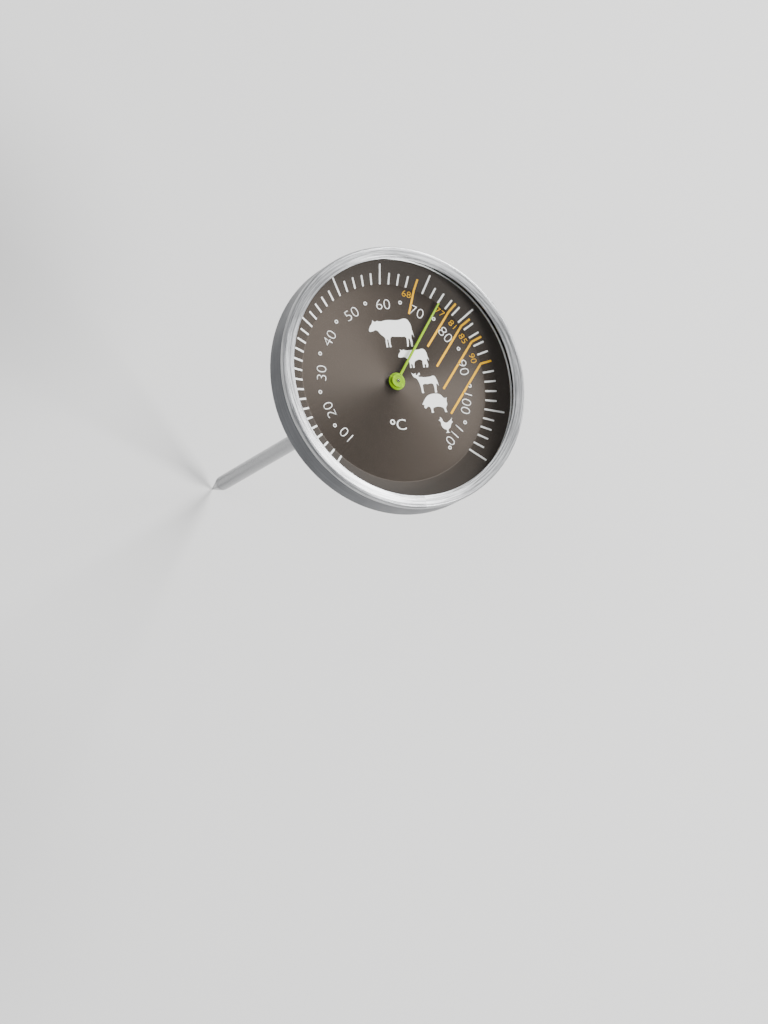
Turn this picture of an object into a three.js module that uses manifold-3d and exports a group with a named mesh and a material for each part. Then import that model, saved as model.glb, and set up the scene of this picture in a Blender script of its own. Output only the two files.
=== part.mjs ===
// Bimetal meat thermometer with a back stem.
// Millimetres, +Z up. The origin is the centre of the case's back face, where the stem leaves it.
// The dial faces +Z with 12 o'clock towards +Y, and the stem runs down -Z.

import * as THREE from 'three';
import { mergeVertices } from 'three/addons/utils/BufferGeometryUtils.js';
import Module from 'manifold-3d';

// Case and bezel
const CASE_RADIUS = 36.5;
const CASE_DEPTH = 9.0;
const CASE_SHEET = 0.8;
const BACK_EDGE_RADIUS = 0.9;
const SEAM_HEIGHT = 7.4;
const SEAM_GAP = 0.05;
const SHOULDER_WIDTH = 0.6;
const SHOULDER_START = 7.7;
const LAND_WIDTH = 0.4;
const LIP_RADIUS = 33.0;
const LIP_TOP = 8.72;
const LIP_CHAMFER = 0.18;
const LIP_UNDERSIDE = 8.2;
const SKIRT_FOOT = 4.8;
const SKIRT_THICKNESS = 0.6;

// Glass and the rings that hold it
const GLASS_RADIUS = 34.8;
const GLASS_BOTTOM = 6.15;
const GLASS_TOP = 7.65;
const GLASS_CHAMFER = 0.25;
const GASKET_INNER_RADIUS = 33.35;
const SPACER_INNER_RADIUS = 33.95;
const SPACER_BEVEL = 0.45;

// Dial: a flat middle with a conical band that rises to the rim
const DIAL_TOP = 2.0;
const DIAL_SHEET = 0.35;
const DIAL_FLAT_RADIUS = 27.7;
const DIAL_HOLE_RADIUS = 1.3;
const BAND_ANGLE = THREE.MathUtils.degToRad(18.5);
const SEAT_INNER_RADIUS = 34.0;

// Pointer: 2.7 degrees of turn for each degree Celsius, 60 degrees Celsius at 12 o'clock
const DEGREES_PER_CELSIUS = 2.7;
const TOP_OF_DIAL_CELSIUS = 60;
const REST_CELSIUS = 74;
const POINTER_UNDERSIDE = 2.8;
const POINTER_SHEET = 0.5;
const POINTER_DISC_RADIUS = 2.4;
const POINTER_TIP_RADIUS = 27.3;
const NEEDLE_WIDTH = 0.72;
const TIP_WIDTH = 0.5;
const NEEDLE_OVERLAP = 0.1;
const BOSS_RADIUS = 1.8;
const BOSS_HEIGHT = 0.62;
const BOSS_CHAMFER = 0.15;
const BOSS_SLEEVE_RADIUS = 0.95;
const BOSS_SLEEVE_DEPTH = 0.35;

// Spindle and its bushes
const SPINDLE_RADIUS = 0.5;
const SPINDLE_TOP = 4.05;
const SPINDLE_END_ROUND = 0.05;
const SPINDLE_END_NARROWING = 0.7;
const BEARING_CLEARANCE = 0.06;
const PRESS_GAP = 0.05;
const BUSH_LENGTH = 2.0;
const BUSH_SPACE = 2.0;

// Stem
const STEM_LENGTH = 125;
const STEM_RADIUS = 2.25;
const STEM_WALL = 0.35;
const STEM_TOP = -1.0;
const TIP_CONE_LENGTH = 9;
const TIP_SHANK_LENGTH = 1;
const TIP_POINT_RADIUS = 0.25;
const TIP_PLUG_LENGTH = 3;

// Bushing that joins the stem to the case, in a shallow recess of the case's back
const COLLAR_RADIUS = 5.0;
const COLLAR_LENGTH = 4.0;
const COLLAR_TAPER = 2.5;
const COLLAR_END_RADIUS = 3.2;
const NECK_RADIUS = 3.3;
const NECK_TOP = 1.62;
const CASE_HOLE_RADIUS = 3.4;
const RECESS_RADIUS = 5.5;
const RECESS_DEPTH = 0.3;
const SEAL_THICKNESS = 0.5;
const SEAL_OUTER_RADIUS = 4.8;
const LOCK_WASHER_THICKNESS = 0.2;
const LOCK_WASHER_RADIUS = 4.4;
const NUT_SIDES = 6;
const NUT_ACROSS_FLATS = 8;
const NUT_THICKNESS = 0.5;

// Bimetal helix, near the tip
const HELIX_RADIUS = 1.25;
const HELIX_STRIP = 0.24;
const HELIX_STRIP_WIDTH = 1.4;
const HELIX_PITCH = 2.1;
const HELIX_TURNS = 11;
const HELIX_STEPS_PER_TURN = 14;
const ANCHOR_LENGTH = 2.2;
const COLLAR_ON_SPINDLE_LENGTH = 1.6;
const COLLAR_ON_SPINDLE_GAP = 0.3;

// Facets
const RING_SIDES = 72;
const SHAFT_SIDES = 24;
const EDGE_STEPS = 4;

const finishes = {
  brushedSteel: { color: 0xb9bcbe, roughness: 0.34, metalness: 1.0 },
  stemSteel: { color: 0xc4c6c8, roughness: 0.22, metalness: 1.0 },
  springSteel: { color: 0x9a9c9e, roughness: 0.35, metalness: 1.0 },
  brightRing: { color: 0xd0d2d4, roughness: 0.18, metalness: 1.0 },
  dialPaint: { color: 0x6b6058, roughness: 0.45, metalness: 0.35 },
  pointerPaint: { color: 0x9fbe10, roughness: 0.35, metalness: 0.0 },
  silicone: { color: 0x17181a, roughness: 0.7, metalness: 0.0 },
  glass: { color: 0xf2f6f6, roughness: 0.02, metalness: 0.0, transparent: true, opacity: 0.12 },
  brass: { color: 0xc2a052, roughness: 0.3, metalness: 1.0 },
  bimetal: { color: 0xa9865b, roughness: 0.4, metalness: 1.0 },
};

// A solid of revolution about Z from [radius, height] points, outer side listed upwards.
function turned(profile, sides = RING_SIDES) {
  const points = profile.map(([radius, height]) => new THREE.Vector2(radius, height));
  return new THREE.LatheGeometry(points, sides).rotateX(Math.PI / 2);
}

// A turned ring: its profile is closed by repeating its first point.
function turnedRing(profile, sides = RING_SIDES) {
  return turned([...profile, profile[0]], sides);
}

// A plain ring of rectangular section.
function plainRing(inner, outer, bottom, top, sides = RING_SIDES) {
  return turnedRing([[inner, bottom], [outer, bottom], [outer, top], [inner, top]], sides);
}

// Points of a quarter of an ellipse, from one angle to another a quarter turn on.
function quarterRound(centreRadius, centreHeight, width, height, startAngle) {
  const points = [];
  for (let step = 0; step <= EDGE_STEPS; step += 1) {
    const angle = startAngle + (Math.PI / 2) * (step / EDGE_STEPS);
    points.push([centreRadius + width * Math.cos(angle), centreHeight + height * Math.sin(angle)]);
  }
  return points;
}

const manifold = await Module();
manifold.setup();

// A closed three.js geometry as a manifold solid, and back.
function toSolid(geometry) {
  const bare = geometry.clone();
  bare.deleteAttribute('normal');
  bare.deleteAttribute('uv');
  const merged = mergeVertices(bare, 1e-5);
  const mesh = new manifold.Mesh({
    numProp: 3,
    vertProperties: new Float32Array(merged.attributes.position.array),
    triVerts: new Uint32Array(merged.index.array),
  });
  return new manifold.Manifold(mesh);
}

function toGeometry(solid) {
  const mesh = solid.getMesh();
  const geometry = new THREE.BufferGeometry();
  geometry.setAttribute('position', new THREE.BufferAttribute(mesh.vertProperties, 3));
  geometry.setIndex(new THREE.BufferAttribute(mesh.triVerts, 1));
  geometry.computeVertexNormals();
  return geometry;
}

const thermometer = new THREE.Group();

function addPiece(parent, name, geometry, finish) {
  const mesh = new THREE.Mesh(geometry, new THREE.MeshStandardMaterial(finishes[finish]));
  mesh.name = name;
  parent.add(mesh);
}

function addCase() {
  const wallInner = CASE_RADIUS - CASE_SHEET;
  const edgeCentre = CASE_RADIUS - BACK_EDGE_RADIUS;
  const innerEdge = BACK_EDGE_RADIUS - CASE_SHEET / 2;
  const cornerCentre = wallInner - innerEdge;
  const insideCorner = quarterRound(cornerCentre, CASE_SHEET + innerEdge, innerEdge, innerEdge, -Math.PI / 2);
  const cup = turnedRing([
    [CASE_HOLE_RADIUS, RECESS_DEPTH],
    [RECESS_RADIUS, RECESS_DEPTH],
    [RECESS_RADIUS, 0],
    ...quarterRound(edgeCentre, BACK_EDGE_RADIUS, BACK_EDGE_RADIUS, BACK_EDGE_RADIUS, -Math.PI / 2),
    [CASE_RADIUS, SEAM_HEIGHT],
    [wallInner, SEAM_HEIGHT],
    ...insideCorner.reverse(),
    [CASE_HOLE_RADIUS, CASE_SHEET],
  ]);
  addPiece(thermometer, 'case_cup', cup, 'brushedSteel');
}

function addBezel() {
  const faceOuter = CASE_RADIUS - SHOULDER_WIDTH;
  const skirtOuter = CASE_RADIUS - CASE_SHEET - SEAM_GAP;
  const skirtInner = skirtOuter - SKIRT_THICKNESS;
  const seamTop = SEAM_HEIGHT + SEAM_GAP;
  const shoulderHeight = CASE_DEPTH - SHOULDER_START;
  const bezel = turnedRing([
    [skirtOuter, SKIRT_FOOT],
    [skirtOuter, seamTop],
    [CASE_RADIUS, seamTop],
    ...quarterRound(faceOuter, SHOULDER_START, SHOULDER_WIDTH, shoulderHeight, 0),
    [faceOuter - LAND_WIDTH, CASE_DEPTH],
    [LIP_RADIUS + LIP_CHAMFER, LIP_TOP],
    [LIP_RADIUS, LIP_TOP - LIP_CHAMFER],
    [LIP_RADIUS, LIP_UNDERSIDE],
    [skirtInner, LIP_UNDERSIDE],
    [skirtInner, SKIRT_FOOT],
  ]);
  addPiece(thermometer, 'bezel_ring', bezel, 'brushedSteel');
}

function addGlass() {
  const gasketTop = LIP_UNDERSIDE - PRESS_GAP;
  const gasket = plainRing(GASKET_INNER_RADIUS, GLASS_RADIUS, GLASS_TOP + PRESS_GAP, gasketTop);
  addPiece(thermometer, 'lens_gasket', gasket, 'silicone');

  const flatRadius = GLASS_RADIUS - GLASS_CHAMFER;
  const lens = turned([
    [0, GLASS_BOTTOM],
    [flatRadius, GLASS_BOTTOM],
    [GLASS_RADIUS, GLASS_BOTTOM + GLASS_CHAMFER],
    [GLASS_RADIUS, GLASS_TOP - GLASS_CHAMFER],
    [flatRadius, GLASS_TOP],
    [0, GLASS_TOP],
  ]);
  addPiece(thermometer, 'lens', lens, 'glass');
}

function addDial() {
  const bandRise = (GLASS_RADIUS - DIAL_FLAT_RADIUS) * Math.tan(BAND_ANGLE);
  const rimTop = DIAL_TOP + bandRise;
  const kneeShift = DIAL_SHEET * Math.tan(BAND_ANGLE / 2);
  const rimUnderside = rimTop - DIAL_SHEET / Math.cos(BAND_ANGLE);
  const dial = turnedRing([
    [DIAL_HOLE_RADIUS, DIAL_TOP - DIAL_SHEET],
    [DIAL_FLAT_RADIUS + kneeShift, DIAL_TOP - DIAL_SHEET],
    [GLASS_RADIUS, rimUnderside],
    [GLASS_RADIUS, rimTop],
    [DIAL_FLAT_RADIUS, DIAL_TOP],
    [DIAL_HOLE_RADIUS, DIAL_TOP],
  ]);
  addPiece(thermometer, 'dial_plate', dial, 'dialPaint');

  const spacerBottom = rimTop + PRESS_GAP;
  const spacerTop = GLASS_BOTTOM - PRESS_GAP;
  const spacer = turnedRing([
    [SPACER_INNER_RADIUS + SPACER_BEVEL, spacerBottom],
    [GLASS_RADIUS, spacerBottom],
    [GLASS_RADIUS, spacerTop],
    [SPACER_INNER_RADIUS, spacerTop],
    [SPACER_INNER_RADIUS, spacerBottom + SPACER_BEVEL],
  ]);
  addPiece(thermometer, 'spacer_ring', spacer, 'brightRing');

  const seatOuter = CASE_RADIUS - CASE_SHEET - BACK_EDGE_RADIUS / 2;
  const underBand = rimUnderside - (GLASS_RADIUS - SEAT_INNER_RADIUS) * Math.tan(BAND_ANGLE);
  const seat = plainRing(SEAT_INNER_RADIUS, seatOuter, CASE_SHEET + PRESS_GAP, underBand - PRESS_GAP);
  addPiece(thermometer, 'dial_seat_ring', seat, 'springSteel');
}

function addBushing() {
  const sealTop = RECESS_DEPTH - PRESS_GAP;
  const sealFoot = sealTop - SEAL_THICKNESS;
  const collarTop = sealFoot - PRESS_GAP;
  const collarFoot = collarTop - COLLAR_LENGTH;
  const stemSocketRadius = STEM_RADIUS + PRESS_GAP;
  const bearingSeatRadius = STEM_RADIUS - STEM_WALL;
  const bushing = turnedRing([
    [stemSocketRadius, collarFoot - COLLAR_TAPER],
    [COLLAR_END_RADIUS, collarFoot - COLLAR_TAPER],
    [COLLAR_RADIUS, collarFoot],
    [COLLAR_RADIUS, collarTop],
    [NECK_RADIUS, collarTop],
    [NECK_RADIUS, NECK_TOP],
    [bearingSeatRadius, NECK_TOP],
    [bearingSeatRadius, STEM_TOP],
    [stemSocketRadius, STEM_TOP],
  ], SHAFT_SIDES * 2);
  addPiece(thermometer, 'stem_bushing', bushing, 'stemSteel');

  const seal = plainRing(CASE_HOLE_RADIUS, SEAL_OUTER_RADIUS, sealFoot, sealTop, SHAFT_SIDES * 2);
  addPiece(thermometer, 'seal_washer', seal, 'silicone');

  const washerBottom = CASE_SHEET + PRESS_GAP;
  const washerTop = washerBottom + LOCK_WASHER_THICKNESS;
  const washer = plainRing(CASE_HOLE_RADIUS, LOCK_WASHER_RADIUS, washerBottom, washerTop, SHAFT_SIDES * 2);
  addPiece(thermometer, 'lock_washer', washer, 'springSteel');

  const cornerRadius = NUT_ACROSS_FLATS / 2 / Math.cos(Math.PI / NUT_SIDES);
  const nutOutline = new THREE.Shape();
  for (let corner = 0; corner < NUT_SIDES; corner += 1) {
    const angle = (corner * 2 * Math.PI) / NUT_SIDES;
    const x = cornerRadius * Math.cos(angle);
    const y = cornerRadius * Math.sin(angle);
    if (corner === 0) nutOutline.moveTo(x, y);
    else nutOutline.lineTo(x, y);
  }
  nutOutline.closePath();
  nutOutline.holes.push(new THREE.Path().absarc(0, 0, CASE_HOLE_RADIUS, 0, 2 * Math.PI, true));
  const nut = new THREE.ExtrudeGeometry(nutOutline, {
    depth: NUT_THICKNESS,
    bevelEnabled: false,
    curveSegments: SHAFT_SIDES,
  });
  nut.translate(0, 0, washerTop + PRESS_GAP / 2);
  addPiece(thermometer, 'bushing_nut', nut, 'brass');
}

function addBearings() {
  const bore = SPINDLE_RADIUS + BEARING_CLEARANCE;
  const outer = STEM_RADIUS - STEM_WALL - PRESS_GAP;
  const helixTop = helixBottom() + HELIX_PITCH * HELIX_TURNS + HELIX_STRIP_WIDTH;
  const lowerFoot = helixTop + COLLAR_ON_SPINDLE_LENGTH + BUSH_SPACE;
  const bushes = {
    upper_bearing: [STEM_TOP + PRESS_GAP, NECK_TOP],
    middle_bearing: [lowerFoot / 2 - BUSH_LENGTH, lowerFoot / 2],
    lower_bearing: [lowerFoot, lowerFoot + BUSH_LENGTH],
  };
  for (const [name, [bottom, top]] of Object.entries(bushes)) {
    addPiece(thermometer, name, plainRing(bore, outer, bottom, top, SHAFT_SIDES), 'brass');
  }
}

function tubeFoot() {
  return -STEM_LENGTH + TIP_CONE_LENGTH;
}

function anchorTop() {
  return tubeFoot() + TIP_PLUG_LENGTH + PRESS_GAP + ANCHOR_LENGTH;
}

function helixBottom() {
  return anchorTop() + PRESS_GAP;
}

function addStem() {
  const bore = STEM_RADIUS - STEM_WALL;
  const tube = plainRing(bore, STEM_RADIUS, tubeFoot() + PRESS_GAP, STEM_TOP - PRESS_GAP, SHAFT_SIDES);
  addPiece(thermometer, 'stem_tube', tube, 'stemSteel');

  const plugRadius = bore - PRESS_GAP;
  const tip = turned([
    [0, -STEM_LENGTH],
    [TIP_POINT_RADIUS, -STEM_LENGTH + TIP_POINT_RADIUS],
    [STEM_RADIUS, tubeFoot() - TIP_SHANK_LENGTH],
    [STEM_RADIUS, tubeFoot()],
    [plugRadius, tubeFoot()],
    [plugRadius, tubeFoot() + TIP_PLUG_LENGTH],
    [0, tubeFoot() + TIP_PLUG_LENGTH],
  ], SHAFT_SIDES);
  addPiece(thermometer, 'stem_tip', tip, 'stemSteel');

  const pivotBore = SPINDLE_RADIUS + BEARING_CLEARANCE;
  const anchor = plainRing(pivotBore, plugRadius, anchorTop() - ANCHOR_LENGTH, anchorTop(), SHAFT_SIDES);
  addPiece(thermometer, 'helix_anchor', anchor, 'brass');
}

// The helix is a long flat strip, bent around Z.
function addHelix() {
  const steps = HELIX_TURNS * HELIX_STEPS_PER_TURN;
  const strip = new THREE.BoxGeometry(1, HELIX_STRIP, HELIX_STRIP_WIDTH, steps, 1, 1);
  const position = strip.attributes.position;
  for (let index = 0; index < position.count; index += 1) {
    const along = position.getX(index) + 0.5;
    const radius = HELIX_RADIUS - position.getY(index);
    const angle = 2 * Math.PI * HELIX_TURNS * along;
    const height = helixBottom() + HELIX_STRIP_WIDTH / 2 + HELIX_PITCH * HELIX_TURNS * along;
    position.setXYZ(index, radius * Math.cos(angle), radius * Math.sin(angle), height + position.getZ(index));
  }
  strip.computeVertexNormals();
  addPiece(thermometer, 'bimetal_helix', strip, 'bimetal');
}

// Everything that turns with the temperature, shown at its rest reading.
function addMovement() {
  const movement = new THREE.Group();
  const restTurn = DEGREES_PER_CELSIUS * (REST_CELSIUS - TOP_OF_DIAL_CELSIUS);
  movement.rotation.z = THREE.MathUtils.degToRad(-restTurn);
  thermometer.add(movement);

  const spindleFoot = anchorTop() - ANCHOR_LENGTH / 2;
  const domeStart = SPINDLE_TOP - SPINDLE_RADIUS / 2;
  const spindle = turned([
    [0, spindleFoot],
    [SPINDLE_RADIUS, spindleFoot],
    [SPINDLE_RADIUS, domeStart],
    [SPINDLE_RADIUS * SPINDLE_END_NARROWING, SPINDLE_TOP - SPINDLE_END_ROUND],
    [0, SPINDLE_TOP],
  ], SHAFT_SIDES);
  addPiece(movement, 'spindle', spindle, 'springSteel');

  const collarFoot = helixBottom() + HELIX_PITCH * HELIX_TURNS + HELIX_STRIP_WIDTH + COLLAR_ON_SPINDLE_GAP;
  const collarRadius = HELIX_RADIUS + HELIX_STRIP;
  const collar = plainRing(SPINDLE_RADIUS + PRESS_GAP, collarRadius, collarFoot,
    collarFoot + COLLAR_ON_SPINDLE_LENGTH, SHAFT_SIDES);
  addPiece(movement, 'helix_collar', collar, 'brass');

  const needleOutline = new THREE.Shape();
  const needleRoot = Math.sqrt(POINTER_DISC_RADIUS ** 2 - (NEEDLE_WIDTH / 2) ** 2) - NEEDLE_OVERLAP;
  needleOutline.moveTo(-NEEDLE_WIDTH / 2, needleRoot);
  needleOutline.lineTo(NEEDLE_WIDTH / 2, needleRoot);
  needleOutline.lineTo(NEEDLE_WIDTH / 2, POINTER_TIP_RADIUS - NEEDLE_WIDTH);
  needleOutline.lineTo(TIP_WIDTH / 2, POINTER_TIP_RADIUS);
  needleOutline.lineTo(-TIP_WIDTH / 2, POINTER_TIP_RADIUS);
  needleOutline.lineTo(-NEEDLE_WIDTH / 2, POINTER_TIP_RADIUS - NEEDLE_WIDTH);
  needleOutline.closePath();
  const needle = new THREE.ExtrudeGeometry(needleOutline, { depth: POINTER_SHEET, bevelEnabled: false });
  needle.translate(0, 0, POINTER_UNDERSIDE);
  const discTop = POINTER_UNDERSIDE + POINTER_SHEET;
  const discHole = BOSS_SLEEVE_RADIUS + PRESS_GAP;
  const disc = plainRing(discHole, POINTER_DISC_RADIUS, POINTER_UNDERSIDE, discTop, SHAFT_SIDES * 2);
  addPiece(movement, 'pointer', toGeometry(toSolid(disc).add(toSolid(needle))), 'pointerPaint');

  const bossFoot = discTop + PRESS_GAP;
  const bossTop = bossFoot + BOSS_HEIGHT;
  const boss = turnedRing([
    [SPINDLE_RADIUS + PRESS_GAP, POINTER_UNDERSIDE - BOSS_SLEEVE_DEPTH],
    [BOSS_SLEEVE_RADIUS, POINTER_UNDERSIDE - BOSS_SLEEVE_DEPTH],
    [BOSS_SLEEVE_RADIUS, bossFoot],
    [BOSS_RADIUS, bossFoot],
    [BOSS_RADIUS, bossTop - BOSS_CHAMFER],
    [BOSS_RADIUS - BOSS_CHAMFER, bossTop],
    [SPINDLE_RADIUS + PRESS_GAP, bossTop],
  ], SHAFT_SIDES * 2);
  addPiece(movement, 'pointer_boss', boss, 'pointerPaint');
}

addCase();
addBezel();
addGlass();
addDial();
addBushing();
addBearings();
addStem();
addHelix();
addMovement();

export default thermometer;
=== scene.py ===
"""Looks of a round dial meat thermometer, laid out as a Blender add-on.

Everything is in metres, in the frame of the packed model: the stem runs down -Z, the dial faces +Z
and 12 o'clock is towards +Y. Profiles and outlines are written in millimetres.
"""

import math

import bpy
from bpy.props import FloatProperty, FloatVectorProperty, IntProperty, PointerProperty
from bpy.types import Operator, Panel, PropertyGroup
from mathutils import Matrix, Quaternion, Vector


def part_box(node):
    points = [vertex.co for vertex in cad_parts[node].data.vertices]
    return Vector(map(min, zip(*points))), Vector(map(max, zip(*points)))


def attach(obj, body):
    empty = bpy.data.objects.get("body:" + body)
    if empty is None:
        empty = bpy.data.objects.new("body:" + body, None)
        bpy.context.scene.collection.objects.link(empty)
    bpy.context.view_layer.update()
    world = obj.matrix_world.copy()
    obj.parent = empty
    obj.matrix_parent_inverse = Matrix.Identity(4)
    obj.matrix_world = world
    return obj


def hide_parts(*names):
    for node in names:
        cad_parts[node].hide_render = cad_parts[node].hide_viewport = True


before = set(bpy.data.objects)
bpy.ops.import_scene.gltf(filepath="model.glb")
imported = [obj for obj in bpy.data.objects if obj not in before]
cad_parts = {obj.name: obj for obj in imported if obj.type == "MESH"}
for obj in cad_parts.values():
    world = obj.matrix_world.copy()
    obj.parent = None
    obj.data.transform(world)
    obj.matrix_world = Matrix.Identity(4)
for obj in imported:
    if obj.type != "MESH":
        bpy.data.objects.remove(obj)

bl_info = {
    "name": "Meat thermometer",
    "version": (1, 0, 0),
    "blender": (4, 5, 0),
    "location": "3D View > Sidebar > Thermometer",
    "description": "Builds the finished look of a round dial meat thermometer around its packed frame",
    "category": "Object",
}

MM = 0.001
RING_SIDES = 256
HUB_SIDES = 96
STEM_SIDES = 64
PRESS_GAP = 0.05  # between parts that are pressed or welded together, in millimetres
SMOOTH_ANGLE = math.radians(32)
BEVEL_ANGLE = math.radians(20)
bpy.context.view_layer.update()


# ---- Sizes read from the frame, in millimetres -------------------------------------------------

def corners(node):
    """Radius and height of every corner of a node turned about Z."""
    points = [vertex.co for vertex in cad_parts[node].data.vertices]
    return [(math.hypot(point.x, point.y) / MM, point.z / MM) for point in points]


def spread(node):
    """Smallest and largest radius, bottom and top of a node turned about Z."""
    radii, heights = zip(*corners(node))
    return min(radii), max(radii), min(heights), max(heights)


def radii_at(node, height, tolerance=0.02):
    """Smallest and largest radius of a node's corners at one height."""
    radii = [radius for radius, z in corners(node) if abs(z - height) < tolerance]
    return min(radii), max(radii)


def rest_turn():
    """Angle of the pointer from 12 o'clock at rest, clockwise, in radians."""
    points = [vertex.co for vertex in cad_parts["pointer"].data.vertices]
    tip = max(points, key=lambda point: math.hypot(point.x, point.y))
    middle = sum((point for point in points if (point - tip).length < MM), Vector((0, 0, 0)))
    return math.atan2(middle.x, middle.y)


HOLE_RADIUS, CASE_RADIUS, _, CASE_SEAM = spread("case_cup")
LIP_RADIUS, _, SKIRT_FOOT, FRONT = spread("bezel_ring")
DIAL_HOLE, DIAL_RADIUS, DIAL_BACK, DIAL_RIM = spread("dial_plate")
DIAL_SHEET = 0.35
DIAL_TOP = DIAL_BACK + DIAL_SHEET
_, DIAL_FLAT_RADIUS = radii_at("dial_plate", DIAL_TOP)
BAND_ANGLE = math.atan2(DIAL_RIM - DIAL_TOP, DIAL_RADIUS - DIAL_FLAT_RADIUS)


# ---- Settings that a user would change -----------------------------------------------------------

class CaseSettings(PropertyGroup):
    """Case, bezel and glass."""

    steel: FloatVectorProperty(
        name="Steel", description="Colour of the brushed case", subtype="COLOR",
        default=(0.40, 0.404, 0.41), min=0, max=1)
    # Painted reflection: the side wall and back are the bezel's steel, painted far darker for the dark
    # surroundings that they reflect.
    side_steel: FloatVectorProperty(
        name="Side steel", description="Colour of the satin side wall and back", subtype="COLOR",
        default=(0.095, 0.098, 0.105), min=0, max=1)
    brushing: FloatProperty(
        name="Brushing", description="Depth of the brush lines in the steel", default=0.7, min=0, max=1)
    glass_wear: FloatProperty(
        name="Glass wear", description="Faint wiping marks on the glass", default=0.3, min=0, max=1)


class DialSettings(PropertyGroup):
    """Dial plate and its printed scale."""

    lacquer: FloatVectorProperty(
        name="Lacquer", description="Grey-brown lacquer of the dial", subtype="COLOR",
        default=(0.046, 0.035, 0.0275), min=0, max=1)
    white: FloatVectorProperty(
        name="White ink", description="Ticks, numbers and pictures", subtype="COLOR",
        default=(0.94, 0.93, 0.91), min=0, max=1)
    orange: FloatVectorProperty(
        name="Orange ink", description="Lines of the cooking temperatures", subtype="COLOR",
        default=(0.86, 0.44, 0.0), min=0, max=1)
    ink: FloatProperty(
        name="Ink thickness", description="How far the print stands above the dial", unit="LENGTH",
        default=0.03 * MM, min=0.01 * MM, max=0.1 * MM)
    tick_width: FloatProperty(
        name="Tick width", description="Width of a tick of the scale", unit="LENGTH",
        default=0.5 * MM, min=0.1 * MM, max=1 * MM)
    first: IntProperty(name="First", description="Lowest temperature of the scale", default=10)
    last: IntProperty(name="Last", description="Highest temperature of the scale", default=110)
    top: IntProperty(name="At the top", description="Temperature at 12 o'clock", default=60)
    turn: FloatProperty(
        name="Turn per degree", description="Turn of the pointer for one degree Celsius",
        subtype="ANGLE", default=math.radians(2.7))


class PointerSettings(PropertyGroup):
    """Pointer and its boss."""

    lime: FloatVectorProperty(
        name="Lime", description="Lime green lacquer of the pointer", subtype="COLOR",
        default=(0.20, 0.375, 0.0), min=0, max=1)
    needle_width: FloatProperty(
        name="Needle width", description="Width of the needle", unit="LENGTH", default=0.72 * MM)


class StemSettings(PropertyGroup):
    """Stem and its bushing."""

    steel: FloatVectorProperty(
        name="Steel", description="Colour of the ground stem", subtype="COLOR",
        default=(0.29, 0.294, 0.30), min=0, max=1)


class StageSettings(PropertyGroup):
    """Floor, lights and camera."""

    floor: FloatVectorProperty(
        name="Floor", description="Colour of the pale floor", subtype="COLOR",
        default=(0.64, 0.636, 0.628), min=0, max=1)
    azimuth: FloatProperty(
        name="Azimuth", description="Side that the camera looks from", subtype="ANGLE",
        default=math.radians(-69.6))
    elevation: FloatProperty(
        name="Elevation", description="Height of the camera above the dial", subtype="ANGLE",
        default=math.radians(60.48))
    roll: FloatProperty(
        name="Roll", description="Turn of the camera about its own axis", subtype="ANGLE",
        default=math.radians(63.3))
    distance: FloatProperty(
        name="Distance", description="From the camera to the point it looks at", unit="LENGTH",
        default=0.7949)
    lens: FloatProperty(name="Lens", description="Focal length in millimetres", default=105.5)


# ---- Modelling helpers ---------------------------------------------------------------------------

def deselect_all():
    """Leaves edit mode and deselects every object."""
    if bpy.context.mode != "OBJECT":
        bpy.ops.object.mode_set(mode="OBJECT")
    bpy.ops.object.select_all(action="DESELECT")


def activate(piece):
    deselect_all()
    piece.select_set(True)
    bpy.context.view_layer.objects.active = piece


def name_active(name):
    piece = bpy.context.object
    piece.name = name
    piece.data.name = name
    return piece


def select_faces(piece, wanted):
    """In edit mode, selects the faces for which wanted(face) is true."""
    bpy.ops.mesh.select_mode(type="FACE")
    bpy.ops.mesh.select_all(action="DESELECT")
    bpy.ops.object.mode_set(mode="OBJECT")
    for polygon in piece.data.polygons:
        polygon.select = wanted(polygon)
    bpy.ops.object.mode_set(mode="EDIT")


def edit_all():
    """Enters edit mode with the whole mesh selected."""
    bpy.ops.object.mode_set(mode="EDIT")
    bpy.ops.mesh.select_mode(type="VERT")
    bpy.ops.mesh.select_all(action="SELECT")


def close_edit():
    """Turns every face outwards and leaves edit mode."""
    bpy.ops.mesh.select_all(action="SELECT")
    bpy.ops.mesh.normals_make_consistent(inside=False)
    bpy.ops.object.mode_set(mode="OBJECT")


def apply_bevel(piece, width, segments):
    """Rounds the piece's sharp edges."""
    modifier = piece.modifiers.new("rounded_edges", "BEVEL")
    modifier.width = width * MM
    modifier.segments = segments
    modifier.limit_method = "ANGLE"
    modifier.angle_limit = BEVEL_ANGLE
    bpy.ops.object.modifier_apply(modifier=modifier.name)


def braced(profile, margin=0.2):
    """Adds a point near both ends of each long stretch, so that a rounded corner leaves it shaded flat."""
    points = [profile[0]]
    for start, end in zip(profile, profile[1:]):
        length = math.dist(start, end)
        if length > 5 * margin:
            for share in (margin / length, 1 - margin / length):
                points.append(tuple(a + (b - a) * share for a, b in zip(start, end)))
        points.append(end)
    return points


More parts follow.
